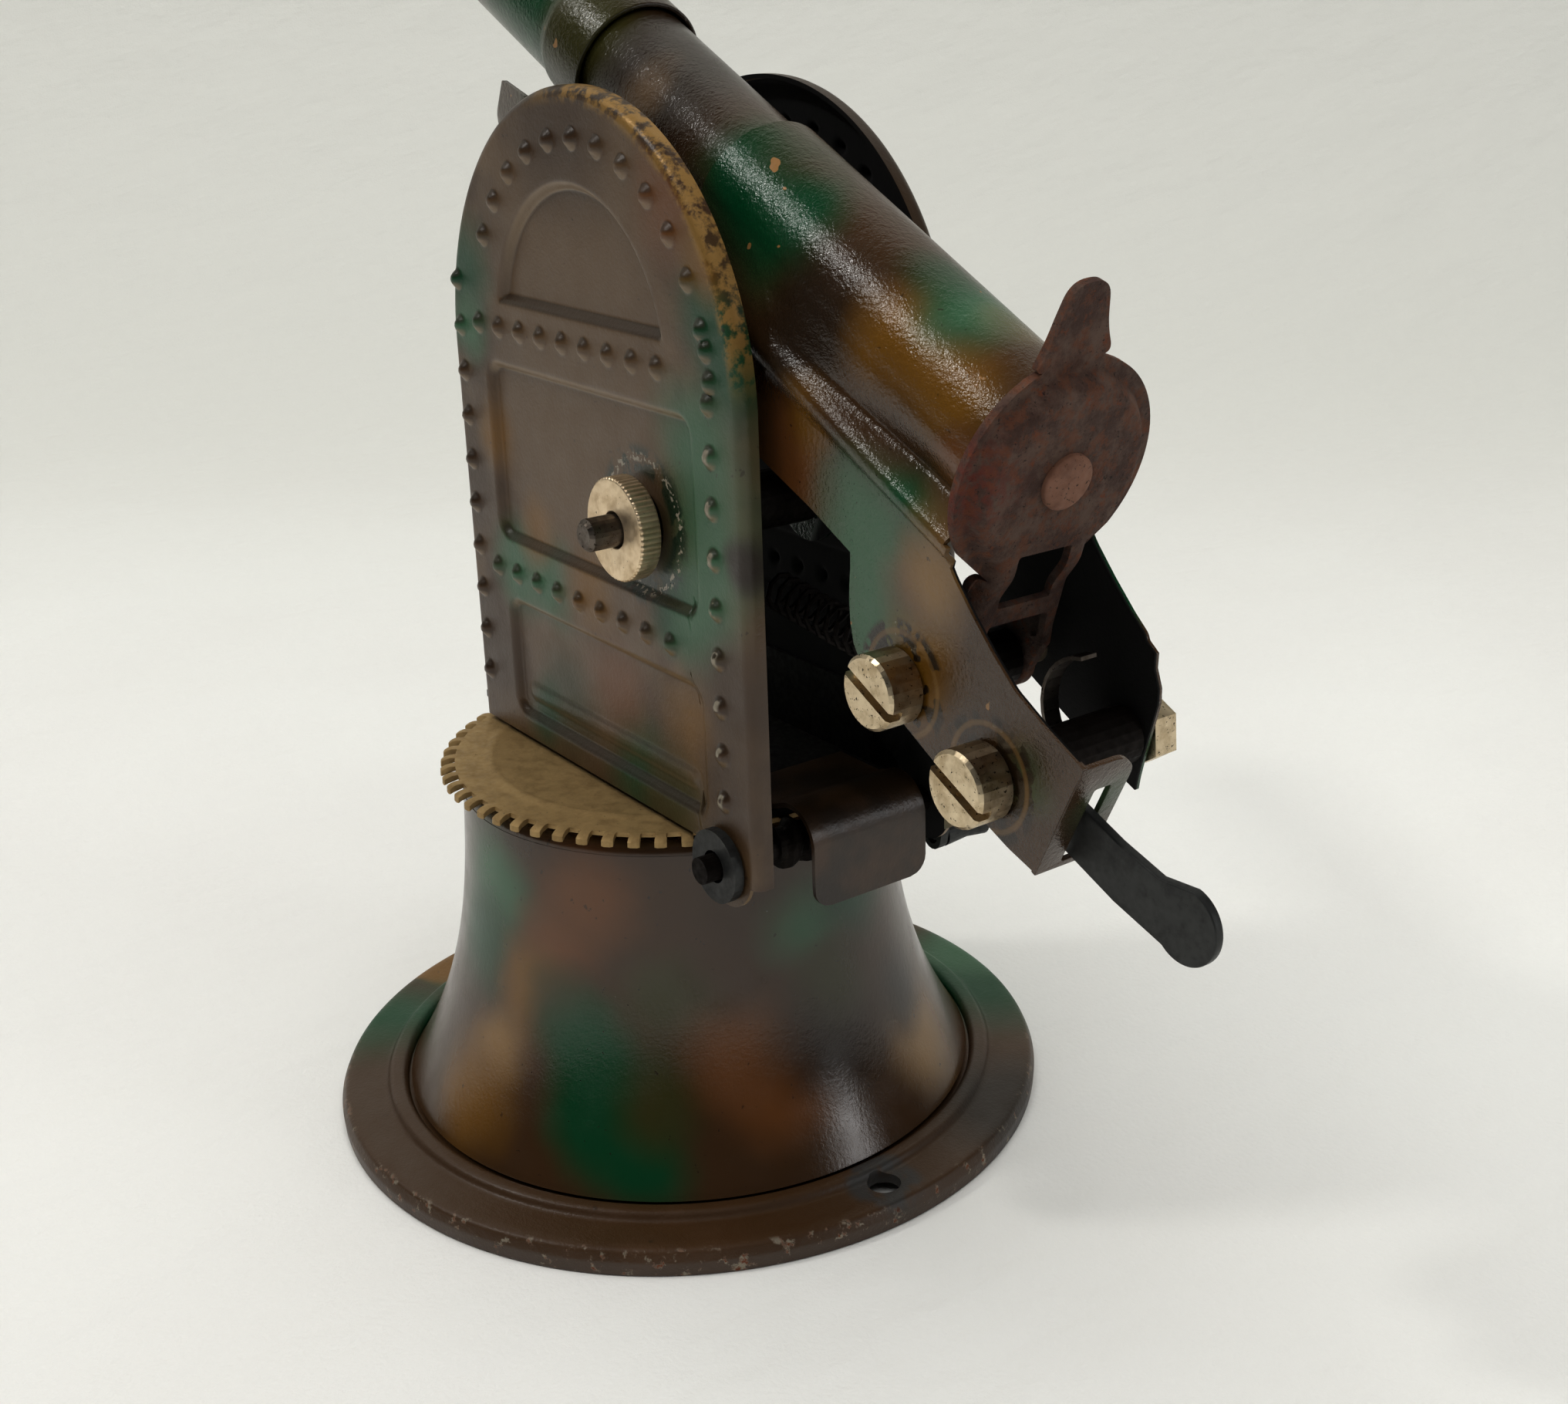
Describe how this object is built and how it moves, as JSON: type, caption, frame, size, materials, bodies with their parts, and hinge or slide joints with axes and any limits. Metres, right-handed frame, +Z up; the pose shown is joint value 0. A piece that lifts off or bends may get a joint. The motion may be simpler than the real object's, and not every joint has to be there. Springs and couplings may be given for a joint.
{
  "type": "toy cannon",
  "caption": "Tinplate toy cannon with a sprung hammer and trigger, elevating between round-topped shields on a worm-geared turntable and a bell pedestal.",
  "frame": {"origin": "on the slewing axis, at the floor under the base flange", "axes": "+X towards the muzzle, +Y to the gun's left, where the thumb nut is, +Z up along the slewing axis"},
  "size_m": [0.166, 0.08, 0.1568],
  "materials": {
    "camouflage_enamel": "glossy air-brushed camouflage enamel in brown, deep green and ochre, chipped at the edges",
    "dark_enamel": "satin dark brown enamel",
    "gear_metal": "dull tarnished brass-plated steel",
    "nickel": "yellowed nickel plate with dark specks",
    "blued_steel": "blue-black oxide, satin",
    "rusted_steel": "brown rust, matte, with orange patches",
    "spring_steel": "grey, slightly oily"
  },
  "bodies": {
    "pedestal": {"base_flange": "camouflage_enamel", "pedestal_bell": "camouflage_enamel", "traverse_gear": "gear_metal", "slewing_bolt": "nickel", "slewing_washer": "nickel", "slewing_nut": "nickel"},
    "carriage": {"turntable_bracket": "dark_enamel", "left_shield": "camouflage_enamel", "right_shield": "camouflage_enamel", "worm_cover": "dark_enamel", "trunnion_stud": "nickel", "trunnion_bush_left": "nickel", "trunnion_bush_right": "nickel"},
    "worm": {"worm_shaft": "gear_metal", "shaft_washer": "blued_steel", "crank_arm": "blued_steel", "crank_knob": "blued_steel"},
    "gun": {"gun_body": "camouflage_enamel", "barrel_tube": "camouflage_enamel", "front_barrel": "camouflage_enamel", "cradle_trough": "camouflage_enamel", "trunnion_spacer": "nickel", "hammer_screw": "nickel", "hammer_screw_nut": "nickel", "hammer_bush": "spring_steel", "trigger_screw": "nickel", "trigger_screw_nut": "nickel", "trigger_spacer_long": "spring_steel", "trigger_spacer_short": "spring_steel", "hammer_spring": "spring_steel", "trigger_leaf_spring": "spring_steel"},
    "thumb_nut": {"thumb_nut": "nickel"},
    "hammer": {"hammer_plate": "rusted_steel", "hammer_rivet": "rusted_steel"},
    "trigger": {"trigger_lever": "blued_steel"}
  },
  "joints": [
    {"name": "traverse", "type": "hinge", "parent": "pedestal", "child": "carriage", "pos_m": [0, 0, 0.0414], "axis": [0, 0, 1], "continuous": true},
    {"name": "crank", "type": "hinge", "parent": "carriage", "child": "worm", "pos_m": [-0.0282, 0, 0.03995], "axis": [0, 1, 0], "continuous": true},
    {"name": "elevation", "type": "hinge", "parent": "carriage", "child": "gun", "pos_m": [-0.0154, 0, 0.0708], "axis": [0, -1, 0], "range_deg": [-26, 30]},
    {"name": "clamp", "type": "hinge", "parent": "carriage", "child": "thumb_nut", "pos_m": [-0.0154, 0, 0.0708], "axis": [0, 1, 0], "range_deg": [0, 90]},
    {"name": "hammer_swing", "type": "hinge", "parent": "gun", "child": "hammer", "pos_m": [-0.04979, 0, 0.06324], "axis": [0, -1, 0], "range_deg": [0, 28], "stiffness_Nm_per_rad": 0.05, "springref_deg": -17.19, "deforming": ["hammer_spring"]},
    {"name": "trigger_press", "type": "hinge", "parent": "gun", "child": "trigger", "pos_m": [-0.06101, 0.0044, 0.05817], "axis": [0, -1, 0], "range_deg": [-3, 4], "stiffness_Nm_per_rad": 0.03, "deforming": ["trigger_leaf_spring"]}
  ],
  "couplings": [
    {"joint": "crank", "follows": "traverse", "ratio": 60}
  ]
}
